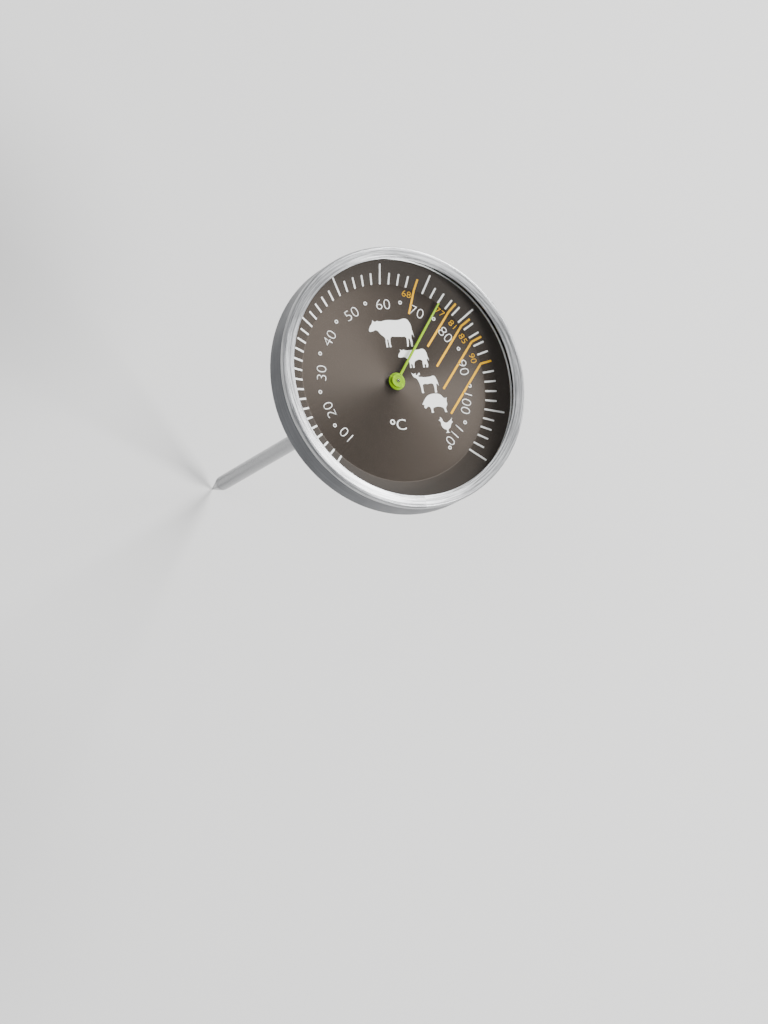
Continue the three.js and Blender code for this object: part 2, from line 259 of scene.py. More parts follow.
def turned(name, profile, sides=RING_SIDES, bevel=0.0, segments=3):
    """A piece turned about Z: a circle is extruded from point to point of its profile."""
    deselect_all()
    profile = braced(profile)
    radius, height = profile[0]
    bpy.ops.mesh.primitive_circle_add(
        vertices=sides, radius=radius * MM, fill_type="NOTHING", location=(0, 0, height * MM))
    piece = name_active(name)
    bpy.ops.object.transform_apply(location=True, rotation=True, scale=True)
    edit_all()
    for next_radius, next_height in profile[1:]:
        rise = (0, 0, (next_height - height) * MM)
        bpy.ops.mesh.extrude_region_move(TRANSFORM_OT_translate={"value": rise})
        stretch = next_radius / radius
        bpy.ops.transform.resize(value=(stretch, stretch, 1), center_override=(0, 0, next_height * MM))
        radius, height = next_radius, next_height
    bpy.ops.mesh.select_all(action="SELECT")
    bpy.ops.mesh.remove_doubles(threshold=0.002 * MM)
    bpy.ops.mesh.fill_holes(sides=0)
    close_edit()
    if bevel:
        apply_bevel(piece, bevel, segments)
    bpy.ops.object.shade_smooth_by_angle(angle=SMOOTH_ANGLE)
    return piece


def ring(name, inner, outer, bottom, top, bevel, sides=RING_SIDES):
    """A turned ring of rectangular section."""
    profile = [(inner, bottom), (outer, bottom), (outer, top), (inner, top), (inner, bottom)]
    return turned(name, profile, sides, bevel)


def arc_points(centre_radius, centre_height, size, start, sweep, steps):
    """Points of an arc in a profile; its start and its sweep are in degrees."""
    angles = [math.radians(start + sweep * step / steps) for step in range(steps + 1)]
    return [(centre_radius + size * math.cos(a), centre_height + size * math.sin(a)) for a in angles]


def join(name, pieces):
    """Joins pieces into one, in the order given."""
    activate(pieces[0])
    for piece in pieces:
        piece.select_set(True)
    if len(pieces) > 1:
        bpy.ops.object.join()
    return name_active(name)


def set_down(piece, x=0.0, y=0.0, z=0.0, turn=0.0, tilt=0.0):
    """Tilts a piece about X, turns it about Z, moves it in millimetres and applies that to its mesh."""
    activate(piece)
    piece.matrix_world = (
        Matrix.Translation(Vector((x, y, z)) * MM)
        @ Matrix.Rotation(turn, 4, "Z")
        @ Matrix.Rotation(tilt, 4, "X")
        @ piece.matrix_world)
    bpy.ops.object.transform_apply(location=True, rotation=True, scale=True)
    return piece


def copy_of(piece):
    """A copy with a mesh of its own."""
    twin = piece.copy()
    twin.data = piece.data.copy()
    bpy.context.scene.collection.objects.link(twin)
    return twin


def finish_piece(piece, body, slot, material, *nodes):
    """Gives a piece its material and body, and hides the nodes that it stands for; the slot is not used."""
    piece.data.materials.clear()
    piece.data.materials.append(material)
    if nodes:
        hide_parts(*nodes)
    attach(piece, body)


# ---- Material helpers ----------------------------------------------------------------------------

class Recipe:
    """A material under construction: its node tree with short calls for the usual nodes."""

    def __init__(self, name, **sockets):
        self.material = bpy.data.materials.new(name)
        self.material.use_nodes = True
        self.nodes = self.material.node_tree.nodes
        self.links = self.material.node_tree.links
        self.nodes.clear()
        self.output = self.nodes.new("ShaderNodeOutputMaterial")
        self.shader = self.nodes.new("ShaderNodeBsdfPrincipled")
        self.links.new(self.shader.outputs["BSDF"], self.output.inputs["Surface"])
        for socket, value in sockets.items():
            self.shader.inputs[socket.replace("_", " ")].default_value = value
        self.place = self.nodes.new("ShaderNodeTexCoord")

    def position(self):
        return self.place.outputs["Object"]

    def feed(self, node, *values):
        """Fills a node's inputs in order with numbers, tuples or sockets; returns its output."""
        for index, value in enumerate(values):
            if isinstance(value, bpy.types.NodeSocket):
                self.links.new(value, node.inputs[index])
            else:
                node.inputs[index].default_value = value
        return node.outputs[0]

    def math(self, operation, *values):
        node = self.nodes.new("ShaderNodeMath")
        node.operation = operation
        return self.feed(node, *values)

    def vector_math(self, operation, *values):
        node = self.nodes.new("ShaderNodeVectorMath")
        node.operation = operation
        return self.feed(node, *values)

    def vector(self, x, y, z):
        return self.feed(self.nodes.new("ShaderNodeCombineXYZ"), x, y, z)

    def polar(self):
        """Radius in metres, angle in radians and height in metres about Z."""
        split = self.nodes.new("ShaderNodeSeparateXYZ")
        self.links.new(self.position(), split.inputs[0])
        x, y, z = split.outputs
        squares = self.math("ADD", self.math("MULTIPLY", x, x), self.math("MULTIPLY", y, y))
        return self.math("SQRT", squares), self.math("ARCTAN2", x, y), z

    def drawn_around(self, share):
        """A place for noise that is drawn out round Z: the smaller the share, the longer the lines."""
        radius, angle, height = self.polar()
        return self.vector(radius, self.math("MULTIPLY", angle, share), height)

    def noise(self, vector, scale, detail=4.0, roughness=0.55):
        node = self.nodes.new("ShaderNodeTexNoise")
        node.inputs["Scale"].default_value = scale
        node.inputs["Detail"].default_value = detail
        node.inputs["Roughness"].default_value = roughness
        self.links.new(vector, node.inputs["Vector"])
        return node.outputs["Fac"]

    def span(self, value, low, high, from_low=0.0, from_high=1.0):
        """Maps a value from one range to another, clamped."""
        node = self.nodes.new("ShaderNodeMapRange")
        self.links.new(value, node.inputs["Value"])
        node.inputs["From Min"].default_value = from_low
        node.inputs["From Max"].default_value = from_high
        node.inputs["To Min"].default_value = low
        node.inputs["To Max"].default_value = high
        return node.outputs["Result"]

    def blend_colours(self, factor, first, second):
        node = self.nodes.new("ShaderNodeMix")
        node.data_type = "RGBA"
        self.links.new(factor, node.inputs["Factor"])
        for name, colour in (("A", first), ("B", second)):
            socket = next(s for s in node.inputs if s.name == name and s.type == "RGBA")
            if isinstance(colour, bpy.types.NodeSocket):
                self.links.new(colour, socket)
            else:
                socket.default_value = (*colour, 1)
        return next(s for s in node.outputs if s.type == "RGBA")

    def colour(self, socket):
        self.links.new(socket, self.shader.inputs["Base Color"])

    def roughness(self, socket):
        self.links.new(socket, self.shader.inputs["Roughness"])

    def bump(self, height, strength, distance):
        node = self.nodes.new("ShaderNodeBump")
        node.inputs["Strength"].default_value = strength
        node.inputs["Distance"].default_value = distance
        self.links.new(height, node.inputs["Height"])
        self.links.new(node.outputs["Normal"], self.shader.inputs["Normal"])

    def brush_around(self):
        """Stretches reflections across brush lines that run around Z, on faces and on walls."""
        outward = self.vector_math("NORMALIZE", self.vector_math("MULTIPLY", self.position(), (1, 1, 0)))
        across = self.vector_math("ADD", outward, (0, 0, -0.8))
        self.links.new(across, self.shader.inputs["Tangent"])

    def brush_outward(self):
        """Stretches reflections across brush lines that run out from Z."""
        across = self.vector_math("CROSS_PRODUCT", self.position(), (0, 0, 1))
        self.links.new(self.vector_math("NORMALIZE", across), self.shader.inputs["Tangent"])


def darker(colour, share):
    return tuple(channel * share for channel in colour)


def brushed_steel(name, steel, brushing, contrast, anisotropy=0.65, line=2300.0):
    """Stainless steel brushed in circles about Z, with deeper scratches and duller finger marks."""
    recipe = Recipe(name, Metallic=1.0, Anisotropic=anisotropy)
    recipe.brush_around()
    lines = recipe.noise(recipe.drawn_around(0.0008), line, 5.0, 0.75)
    deep = recipe.noise(recipe.drawn_around(0.002), line / 4, 2.0)
    scratches = recipe.span(deep, 0.0, 1.0, 0.62, 0.75)
    handling = recipe.noise(recipe.position(), 70.0, 3.0)
    shade = recipe.span(lines, 0.0, 1.0, 0.38, 0.62)
    tone = recipe.blend_colours(shade, darker(steel, 1 - contrast), darker(steel, 1 + contrast))
    tone = recipe.blend_colours(recipe.math("MULTIPLY", scratches, 0.35), tone, darker(steel, 0.62))
    marks = recipe.span(handling, 0.0, 0.22, 0.45, 0.75)
    recipe.colour(recipe.blend_colours(marks, tone, darker(steel, 0.86)))
    grain = recipe.span(lines, 0.27, 0.44)
    recipe.roughness(recipe.math("ADD", grain, recipe.span(handling, -0.03, 0.06, 0.4, 0.7)))
    relief = recipe.math("SUBTRACT", lines, recipe.math("MULTIPLY", scratches, 0.5))
    recipe.bump(relief, brushing, 0.012 * MM)
    return recipe.material


def ground_steel(name, steel, roughness):
    """Stem steel, ground round its axis, with fine rings and a few lengthwise rubs."""
    recipe = Recipe(name, Metallic=1.0, Anisotropic=0.4)
    recipe.brush_around()
    _, angle, height = recipe.polar()
    rings = recipe.noise(recipe.drawn_around(0.0004), 5200.0, 3.0, 0.65)
    rubs = recipe.noise(recipe.vector(recipe.math("MULTIPLY", angle, 0.02), 0.0, height), 60.0, 5.0)
    shade = recipe.span(rings, 0.0, 1.0, 0.35, 0.65)
    tone = recipe.blend_colours(shade, darker(steel, 0.86), darker(steel, 1.06))
    recipe.colour(recipe.blend_colours(recipe.span(rubs, 0.0, 0.3, 0.5, 0.8), tone, darker(steel, 0.78)))
    grain = recipe.span(rings, roughness - 0.05, roughness + 0.07)
    recipe.roughness(recipe.math("ADD", grain, recipe.span(rubs, 0.0, 0.1, 0.4, 0.8)))
    recipe.bump(rings, 0.3, 0.008 * MM)
    return recipe.material


def stepped_ring(step_top):
    """Ring between the glass and the dial: near-white up to its step, partly a painted highlight, and
    painted black above it as painted shade.
    """
    recipe = Recipe("stepped_ring", Metallic=0.8)
    _, _, height = recipe.polar()
    draw_lines = recipe.noise(recipe.drawn_around(0.001), 4200.0)
    haze = recipe.noise(recipe.position(), 160.0, 3.0)
    # Near-white, brighter than plain steel: partly a painted highlight for the thin bright line at the
    # step.
    bright = recipe.blend_colours(haze, (0.88, 0.885, 0.89), (0.95, 0.95, 0.95))
    # Painted shade: above the step the ring is painted black, for the shadowed wall under the glass seal.
    above = recipe.span(height, 0.0, 1.0, (step_top + 0.06) * MM, (step_top + 0.12) * MM)
    recipe.colour(recipe.blend_colours(above, bright, (0.006, 0.006, 0.006)))
    recipe.roughness(recipe.span(haze, 0.38, 0.5, 0.35, 0.7))
    recipe.bump(draw_lines, 0.15, 0.006 * MM)
    return recipe.material


def black_silicone():
    """Matt black silicone with a fine moulded grain and dust in it, the same for both seals."""
    made = bpy.data.materials.get("black_silicone")
    if made:
        return made
    recipe = Recipe("black_silicone", Specular_IOR_Level=0.35)
    grain = recipe.noise(recipe.position(), 6000.0, 4.0)
    dust = recipe.span(recipe.noise(recipe.position(), 900.0, 5.0, 0.7), 0.0, 0.5, 0.6, 0.8)
    recipe.colour(recipe.blend_colours(dust, (0.010, 0.010, 0.011), (0.05, 0.05, 0.05)))
    recipe.roughness(recipe.span(grain, 0.55, 0.8, 0.3, 0.7))
    recipe.bump(grain, 0.3, 0.02 * MM)
    return recipe.material


def clear_glass(wear):
    """Thin flat glass: clear, with a gloss that follows the angle and faint wiping marks."""
    recipe = Recipe("clear_glass")
    recipe.nodes.remove(recipe.shader)
    clear = recipe.nodes.new("ShaderNodeBsdfTransparent")
    clear.inputs["Color"].default_value = (0.985, 0.99, 0.988, 1)
    recipe.shader = recipe.nodes.new("ShaderNodeBsdfGlossy")
    recipe.shader.inputs["Color"].default_value = (0.95, 0.97, 0.97, 1)
    wipes = recipe.noise(recipe.position(), 90.0, 5.0, 0.6)
    recipe.roughness(recipe.span(wipes, 0.02, 0.02 + 0.12 * wear, 0.45, 0.75))
    recipe.bump(wipes, 0.02, 0.01 * MM)
    fresnel = recipe.nodes.new("ShaderNodeFresnel")
    fresnel.inputs["IOR"].default_value = 1.3
    side = recipe.nodes.new("ShaderNodeNewGeometry")
    facing = recipe.math("SUBTRACT", 1.0, side.outputs["Backfacing"])
    gloss_share = recipe.math("MULTIPLY", fresnel.outputs[0], facing)
    mix = recipe.nodes.new("ShaderNodeMixShader")
    for index, socket in enumerate((gloss_share, clear.outputs[0], recipe.shader.outputs[0])):
        recipe.links.new(socket, mix.inputs[index])
    recipe.links.new(mix.outputs[0], recipe.output.inputs["Surface"])
    return recipe.material


def sunray_lacquer(lacquer):
    """Dial plate: steel brushed in rays from the centre under a grey-brown lacquer.

    The rays catch the light in broad sectors, and these sectors are also painted into the colour as painted
    sheen. The band beyond the crease is painted darker as painted shade of its slope, with a painted
    highlight line along the crease."""
    recipe = Recipe(
        "sunray_lacquer", Anisotropic=0.75, Specular_IOR_Level=0.15, Coat_Weight=0.03, Coat_Roughness=0.3)
    recipe.brush_outward()
    radius, angle, _ = recipe.polar()
    across = recipe.vector(
        recipe.math("SINE", angle), recipe.math("COSINE", angle), recipe.math("MULTIPLY", radius, 4.0))
    rays = recipe.noise(across, 90.0, 3.0, 0.7)
    patches = recipe.noise(recipe.position(), 45.0, 3.0)
    # Painted sheen: two opposite sectors about an axis at -50 degrees are painted lighter, for the light
    # that the rays catch.
    from_axis = recipe.math("SUBTRACT", angle, math.radians(-50))
    sweep = recipe.math("COSINE", recipe.math("MULTIPLY", from_axis, 2.0))
    sectors = recipe.span(sweep, 0.0, 1.0, -1.0, 1.0)
    tone = recipe.blend_colours(sectors, darker(lacquer, 0.70), darker(lacquer, 1.25))
    tone = recipe.blend_colours(recipe.span(rays, 0.0, 0.3, 0.35, 0.65), tone, darker(lacquer, 1.35))
    tone = recipe.blend_colours(recipe.span(patches, 0.0, 0.12), tone, darker(lacquer, 0.7))
    # Painted shade: the band beyond the crease is painted darker, for the shade of its slope; it is also
    # given a rougher, less metallic finish.
    band_start = (DIAL_FLAT_RADIUS - 0.02) * MM
    on_band = recipe.span(radius, 0.0, 0.28, band_start, band_start + 0.14 * MM)
    tone = recipe.blend_colours(on_band, tone, darker(lacquer, 0.45))
    # Painted highlight: a lighter line painted along the crease, where the bend catches the light.
    from_crease = recipe.math("ABSOLUTE", recipe.math("SUBTRACT", radius, DIAL_FLAT_RADIUS * MM))
    crease = recipe.span(from_crease, 0.35, 0.0, 0.0, 0.16 * MM)
    recipe.colour(recipe.blend_colours(crease, tone, darker(lacquer, 1.7)))
    sheen = recipe.math("ADD", recipe.span(rays, 0.36, 0.46), recipe.span(patches, -0.03, 0.04))
    recipe.roughness(recipe.math("ADD", sheen, recipe.math("MULTIPLY", on_band, 0.6)))
    recipe.links.new(recipe.span(on_band, 0.22, 0.03, 0.0, 0.28), recipe.shader.inputs["Metallic"])
    recipe.bump(rays, 0.06, 0.01 * MM)
    return recipe.material


def printed_ink(name, ink):
    """Screen-printed ink: slightly uneven cover and a soft gloss."""
    recipe = Recipe(name, Specular_IOR_Level=0.12)
    cover = recipe.noise(recipe.position(), 1800.0, 4.0)
    mottle = recipe.noise(recipe.position(), 260.0, 3.0)
    tone = recipe.blend_colours(recipe.span(cover, 0.0, 0.35, 0.45, 0.8), ink, darker(ink, 0.84))
    recipe.colour(recipe.blend_colours(recipe.span(mottle, 0.0, 0.2, 0.4, 0.7), tone, darker(ink, 0.92)))
    recipe.roughness(recipe.span(cover, 0.42, 0.6))
    recipe.bump(cover, 0.25, 0.012 * MM)
    return recipe.material


def white_ink(settings):
    """The one white ink of the ticks, the numbers and the pictures."""
    return bpy.data.materials.get("white_ink") or printed_ink("white_ink", settings.white)


def lime_lacquer(lime):
    """Gloss lime green lacquer with a light orange-peel, its sharp edges painted paler as a painted
    highlight.
    """
    recipe = Recipe("lime_lacquer", Specular_IOR_Level=0.08, Coat_Weight=0.03, Coat_Roughness=0.12)
    peel = recipe.noise(recipe.position(), 2400.0, 3.0)
    cloud = recipe.noise(recipe.position(), 500.0, 3.0)
    surface = recipe.nodes.new("ShaderNodeNewGeometry")
    # Painted highlight: paler colour on the sharp edges, where the rounded edges catch the light.
    edges = recipe.span(surface.outputs["Pointiness"], 0.0, 0.6, 0.52, 0.62)
    shade = recipe.span(cloud, 0.0, 1.0, 0.35, 0.7)
    tone = recipe.blend_colours(shade, darker(lime, 0.9), darker(lime, 1.1))
    recipe.colour(recipe.blend_colours(edges, tone, (0.38, 0.60, 0.01)))
    recipe.roughness(recipe.span(peel, 0.3, 0.42))
    recipe.bump(peel, 0.2, 0.015 * MM)
    return recipe.material


def mill_steel():
    """Plain rolled steel with streaks and dull patches."""
    steel = (0.50, 0.50, 0.51)
    recipe = Recipe("mill_steel", Metallic=1.0)
    streaks = recipe.noise(recipe.position(), 1400.0, 5.0, 0.65)
    patches = recipe.noise(recipe.position(), 220.0, 3.0)
    tone = recipe.blend_colours(streaks, darker(steel, 0.8), darker(steel, 1.2))
    recipe.colour(recipe.blend_colours(recipe.span(patches, 0.0, 0.5, 0.5, 0.8), tone, darker(steel, 0.65)))
    recipe.roughness(recipe.span(streaks, 0.28, 0.48))
    recipe.bump(streaks, 0.25, 0.01 * MM)
    return recipe.material


def spindle_steel():
    """Drawn spindle wire, dull, with a black dot painted in its end as painted shade of a centre hole."""
    recipe = Recipe("spindle_steel", Metallic=1.0)
    radius, angle, height = recipe.polar()
    lengthwise = recipe.vector(radius, angle, recipe.math("MULTIPLY", height, 0.02))
    draw_lines = recipe.noise(lengthwise, 3000.0, 3.0)
    tone = recipe.blend_colours(draw_lines, (0.20, 0.23, 0.13), (0.30, 0.33, 0.20))
    # Painted shade: black within about 0.3 mm of the axis, for the dark centre hole.
    mark = recipe.span(radius, 1.0, 0.0, 0.2 * MM, 0.32 * MM)
    recipe.colour(recipe.blend_colours(mark, tone, (0.004, 0.004, 0.004)))
    recipe.roughness(recipe.span(draw_lines, 0.3, 0.5))
    recipe.bump(draw_lines, 0.2, 0.005 * MM)
    return recipe.material


def turned_brass():
    """Turned brass with fine tool rings and a little tarnish."""
    recipe = Recipe("turned_brass", Metallic=1.0)
    rings = recipe.noise(recipe.drawn_around(0.0004), 6500.0, 2.0)
    tarnish = recipe.noise(recipe.position(), 420.0, 4.0)
    tone = recipe.blend_colours(rings, (0.66, 0.47, 0.20), (0.80, 0.62, 0.32))
    recipe.colour(recipe.blend_colours(recipe.span(tarnish, 0.0, 0.6, 0.5, 0.8), tone, (0.36, 0.23, 0.10)))
    recipe.roughness(recipe.span(tarnish, 0.2, 0.45))
    recipe.bump(rings, 0.3, 0.01 * MM)
    return recipe.material


def bimetal_strip():
    """Rolled bimetal strip: warm steel with heat colours."""
    recipe = Recipe("rolled_bimetal", Metallic=1.0)
    rolling = recipe.noise(recipe.position(), 2600.0, 4.0)
    heat = recipe.noise(recipe.position(), 300.0, 2.0)
    tone = recipe.blend_colours(rolling, (0.44, 0.33, 0.21), (0.62, 0.49, 0.34))
    recipe.colour(recipe.blend_colours(recipe.span(heat, 0.0, 0.5, 0.5, 0.8), tone, (0.36, 0.27, 0.34)))
    recipe.roughness(recipe.span(rolling, 0.3, 0.5))
    recipe.bump(rolling, 0.2, 0.01 * MM)
    return recipe.material


# ---- Case, bezel, glass and dial -----------------------------------------------------------------

class THERMO_OT_case(Operator):
    """Drawn steel cup: side wall, rounded back edge and the shallow recess for the bushing"""

    bl_idname = "thermometer.case"
    bl_label = "Case"

    def execute(self, context):
        settings = context.scene.thermometer_case
        # The side wall's steel colour is a painted dark reflection, much darker than the bezel's steel.
        steel = brushed_steel("brushed_case", settings.side_steel, settings.brushing, contrast=0.22)
        inner, _ = radii_at("case_cup", CASE_SEAM)
        sheet = CASE_RADIUS - inner
        edge = 0.9
        inner_edge = edge - sheet / 2
        recess = 0.3
        _, recess_radius = radii_at("case_cup", recess)
        recess_slope = 0.1
        profile = [
            (HOLE_RADIUS, recess), (recess_radius, recess), (recess_radius + recess_slope, 0.0),
            *arc_points(CASE_RADIUS - edge, edge, edge, start=-90, sweep=90, steps=8),
            (CASE_RADIUS, CASE_SEAM), (inner, CASE_SEAM),
            *arc_points(inner - inner_edge, sheet + inner_edge, inner_edge, start=0, sweep=-90, steps=5),
            (HOLE_RADIUS, sheet), (HOLE_RADIUS, recess),
        ]
        cup = turned("steel_case", profile, bevel=0.06, segments=2)
        finish_piece(cup, "case", "brushed_case", steel, "case_cup")
        return {"FINISHED"}


class THERMO_OT_bezel(Operator):
    """Brushed front ring: skirt, rounded shoulder, flat land, sloping face and a ledge at its lip"""

    bl_idname = "thermometer.bezel"
    bl_label = "Bezel"

    def execute(self, context):
        settings = context.scene.thermometer_case
        steel = brushed_steel(
            "brushed_bezel", settings.steel, settings.brushing, contrast=0.62, anisotropy=0.55, line=3000.0)
        skirt_inner, skirt_outer = radii_at("bezel_ring", SKIRT_FOOT)
        land_inner, land_outer = radii_at("bezel_ring", FRONT)
        underside = spread("lens_gasket")[3] + PRESS_GAP
        seam = CASE_SEAM + PRESS_GAP
        shoulder_foot = 7.7
        width = CASE_RADIUS - land_outer
        rise = FRONT - shoulder_foot
        turns = [math.radians(10 * step) for step in range(10)]
        shoulder = [
            (land_outer + width * math.cos(turn), shoulder_foot + rise * math.sin(turn)) for turn in turns
        ]
        face_end = LIP_RADIUS + 0.72
        face_foot = FRONT - 0.26
        ledge = face_foot - 0.18
        riser = 0.1
        nose = 0.12
        fall = 0.02
        profile = [
            (skirt_outer, SKIRT_FOOT), (skirt_outer, seam), (CASE_RADIUS, seam), *shoulder,
            (land_inner, FRONT), (face_end, face_foot), (face_end - riser, ledge),
            (LIP_RADIUS + nose, ledge - fall), (LIP_RADIUS, ledge - nose), (LIP_RADIUS, underside),
            (skirt_inner, underside), (skirt_inner, SKIRT_FOOT), (skirt_outer, SKIRT_FOOT),
        ]
        bezel = turned("bezel", profile, bevel=0.03, segments=2)
        finish_piece(bezel, "case", "brushed_case", steel, "bezel_ring")
        return {"FINISHED"}


class THERMO_OT_glass(Operator):
    """Flat glass with ground edges, the dark seal over it and the stepped ring under it"""

    bl_idname = "thermometer.glass"
    bl_label = "Glass and its rings"

    def execute(self, context):
        settings = context.scene.thermometer_case
        _, glass_radius, bottom, top = spread("lens")
        ground = 0.25
        lens = turned("glass", [
            (glass_radius - ground, bottom), (glass_radius, bottom + ground),
            (glass_radius, top - ground), (glass_radius - ground, top),
        ])
        finish_piece(lens, "case", "dial_glass", clear_glass(settings.glass_wear), "lens")
        seal = ring("glass_seal", *spread("lens_gasket"), bevel=0.1)
        finish_piece(seal, "case", "black_seal", black_silicone(), "lens_gasket")
        inner, outer, foot, top = spread("spacer_ring")
        corner = 0.45
        step = 0.38
        step_top = foot + corner + 0.2
        step_slope = 0.08
        stepped = turned("bright_ring", [
            (inner + corner, foot), (outer, foot), (outer, top), (inner + step, top),
            (inner + step, step_top + step_slope), (inner, step_top), (inner, foot + corner),
            (inner + corner, foot),
        ], bevel=0.05)
        finish_piece(stepped, "case", "bright_ring", stepped_ring(step_top), "spacer_ring")
        return {"FINISHED"}


class THERMO_OT_dial(Operator):
    """Dished dial plate with a soft crease between its flat middle and its band"""

    bl_idname = "thermometer.dial"
    bl_label = "Dial plate"

    def execute(self, context):
        lacquer = sunray_lacquer(context.scene.thermometer_dial.lacquer)
        knee = DIAL_SHEET * math.tan(BAND_ANGLE / 2)
        rim_back = DIAL_RIM - DIAL_SHEET / math.cos(BAND_ANGLE)
        plate = turned("dial", [
            (DIAL_HOLE, DIAL_BACK), (DIAL_FLAT_RADIUS + knee, DIAL_BACK), (DIAL_RADIUS, rim_back),
            (DIAL_RADIUS, DIAL_RIM), (DIAL_FLAT_RADIUS, DIAL_TOP), (DIAL_HOLE, DIAL_TOP),
            (DIAL_HOLE, DIAL_BACK),
        ], bevel=0.03, segments=2)
        finish_piece(plate, "case", "dial_paint", lacquer, "dial_plate")
        return {"FINISHED"}


# ---- Printed scale -------------------------------------------------------------------------------

# Radii, places and text heights are in millimetres, and a negative thinning makes the strokes thinner.
# The first number and the first degree mark are shifted clockwise; the last mark follows the last number.
SHORT_TICK = 30.7
LONG_TICK = 33.0
NUMBER_RADIUS = 22.0
NUMBER_HEIGHT = 2.8
NUMBER_THINNING = -0.02
FIRST_NUMBER_SHIFT = math.radians(6.5)
DEGREE_RADIUS = 23.0
FIRST_DEGREE_SHIFT = math.radians(2.5)
LAST_DEGREE = (23.3, math.radians(144.0))
UNIT_PLACE = (-0.1, -11.8)
UNIT_HEIGHT = 3.0
UNIT_THINNING = -0.004
UNIT_DEGREE_PLACE = (-2.6, -11.0)
GUIDE_WIDTH = 0.58
GUIDE_DIRECTION = math.radians(40.5)
GUIDE_BEND_RADIUS = DIAL_FLAT_RADIUS + 0.1
GUIDE_NUMBER_RADIUS = 25.9
GUIDE_NUMBER_HEIGHT = 1.8
GUIDE_NUMBER_THINNING = -0.014
GUIDE_NUMBER_LEAD = math.radians(4.3)
TEXT_WIDENING = 1.12

# Length of each guide line across the flat of the dial, by its temperature.
GUIDES = {68: 7.3, 77: 12.7, 81: 14.8, 85: 17.1, 90: 18.1}


def clock(settings, celsius):
    """Angle of a temperature on the dial, clockwise from 12 o'clock."""
    return (celsius - settings.top) * settings.turn


def dial_point(radius, angle):
    return radius * math.sin(angle), radius * math.cos(angle)


def thicken(piece, thickness):
    """Gives flat print its thickness upwards."""
    activate(piece)
    edit_all()
    bpy.ops.mesh.remove_doubles(threshold=0.001 * MM)
    bpy.ops.mesh.extrude_region_move(TRANSFORM_OT_translate={"value": (0, 0, thickness)})
    close_edit()
    return piece


def printed_bar(settings, length, width):
    """A bar of ink from the origin along +Y, with slightly rounded corners."""
    deselect_all()
    bpy.ops.mesh.primitive_plane_add(size=1)
    bar = name_active("bar")
    bar.scale = (width, length * MM, 1)
    bar.location = (0, length * MM / 2, 0)
    bpy.ops.object.transform_apply(location=True, rotation=True, scale=True)
    edit_all()
    corner = 0.22 * width
    bpy.ops.mesh.bevel(offset=corner, affect="VERTICES", segments=2)
    bpy.ops.object.mode_set(mode="OBJECT")
    return thicken(bar, settings.ink)


def tick(settings, celsius, outer, width=None):
    """A tick on the sloping band, from the crease out to its outer radius."""
    slope_length = (outer - DIAL_FLAT_RADIUS) / math.cos(BAND_ANGLE)
    bar = printed_bar(settings, slope_length, width or settings.tick_width)
    angle = clock(settings, celsius)
    x, y = dial_point(DIAL_FLAT_RADIUS, angle)
    return set_down(bar, x, y, DIAL_TOP, turn=-angle, tilt=BAND_ANGLE)


class THERMO_OT_ticks(Operator):
    """White ticks: one every two degrees, a long one every ten, none where a guide line starts"""

    bl_idname = "thermometer.ticks"
    bl_label = "Ticks"

    def execute(self, context):
        settings = context.scene.thermometer_dial
        steps = [value for value in range(settings.first, settings.last + 1, 2) if value not in GUIDES]
        ticks = [tick(settings, value, SHORT_TICK if value % 10 else LONG_TICK) for value in steps]
        finish_piece(join("ticks", ticks), "case", "scale_white", white_ink(settings))
        return {"FINISHED"}


def printed_text(settings, name, words, height, thinning):
    """Text of a given height, widened a little, centred on the origin and made a mesh of ink."""
    deselect_all()
    bpy.ops.object.text_add()
    label = bpy.context.object
    label.data.body = words
    label.data.align_x = "CENTER"
    label.data.align_y = "CENTER"
    label.data.size = 1.0
    label.data.offset = thinning
    label.data.resolution_u = 5
    bpy.ops.object.convert(target="MESH")
    label = name_active(name)
    points = [Vector(point) for point in label.bound_box]
    low = Vector(map(min, *points))
    high = Vector(map(max, *points))
    factor = height * MM / (high.y - low.y)
    wide = Matrix.Diagonal((TEXT_WIDENING, 1, 1, 1))
    to_origin = Matrix.Translation(-(low + high) / 2)
    label.data.transform(Matrix.Scale(factor, 4) @ wide @ to_origin)
    return thicken(label, settings.ink)


def degree_mark(settings, size=1.05, stroke=0.24):
    """The small ring of a degree sign, centred on the origin."""
    deselect_all()
    bpy.ops.mesh.primitive_circle_add(vertices=24, radius=size * MM / 2, fill_type="NGON")
    mark = name_active("degree_mark")
    edit_all()
    bpy.ops.mesh.select_mode(type="FACE")
    bpy.ops.mesh.inset(thickness=stroke * MM)
    bpy.ops.mesh.delete(type="FACE")
    bpy.ops.object.mode_set(mode="OBJECT")
    return thicken(mark, settings.ink)


class THERMO_OT_numbers(Operator):
    """White numbers every ten degrees, degree marks between them and the unit under the hub"""

    bl_idname = "thermometer.numbers"
    bl_label = "Numbers"

    def execute(self, context):
        settings = context.scene.thermometer_dial
        pieces = []
        for value in range(settings.first, settings.last + 1, 10):
            shift = FIRST_NUMBER_SHIFT if value == settings.first else 0
            angle = clock(settings, value) + shift
            number = printed_text(settings, "number", str(value), NUMBER_HEIGHT, NUMBER_THINNING)
            pieces.append(set_down(number, *dial_point(NUMBER_RADIUS, angle), DIAL_TOP, turn=-angle))
        unit = printed_text(settings, "unit", "C", UNIT_HEIGHT, UNIT_THINNING)
        pieces.append(set_down(unit, *UNIT_PLACE, DIAL_TOP))
        pattern = degree_mark(settings)
        first_between = settings.first + 5
        places = []
        for value in range(first_between, settings.last, 10):
            shift = FIRST_DEGREE_SHIFT if value == first_between else 0
            places.append((DEGREE_RADIUS, clock(settings, value) + shift))
        for place in (*places, LAST_DEGREE):
            pieces.append(set_down(copy_of(pattern), *dial_point(*place), DIAL_TOP))
        unit_degree = degree_mark(settings, size=1.5, stroke=0.34)
        pieces.append(set_down(unit_degree, *UNIT_DEGREE_PLACE, DIAL_TOP))
        bpy.data.objects.remove(pattern)
        finish_piece(join("numbers", pieces), "case", "scale_white", white_ink(settings))
        return {"FINISHED"}


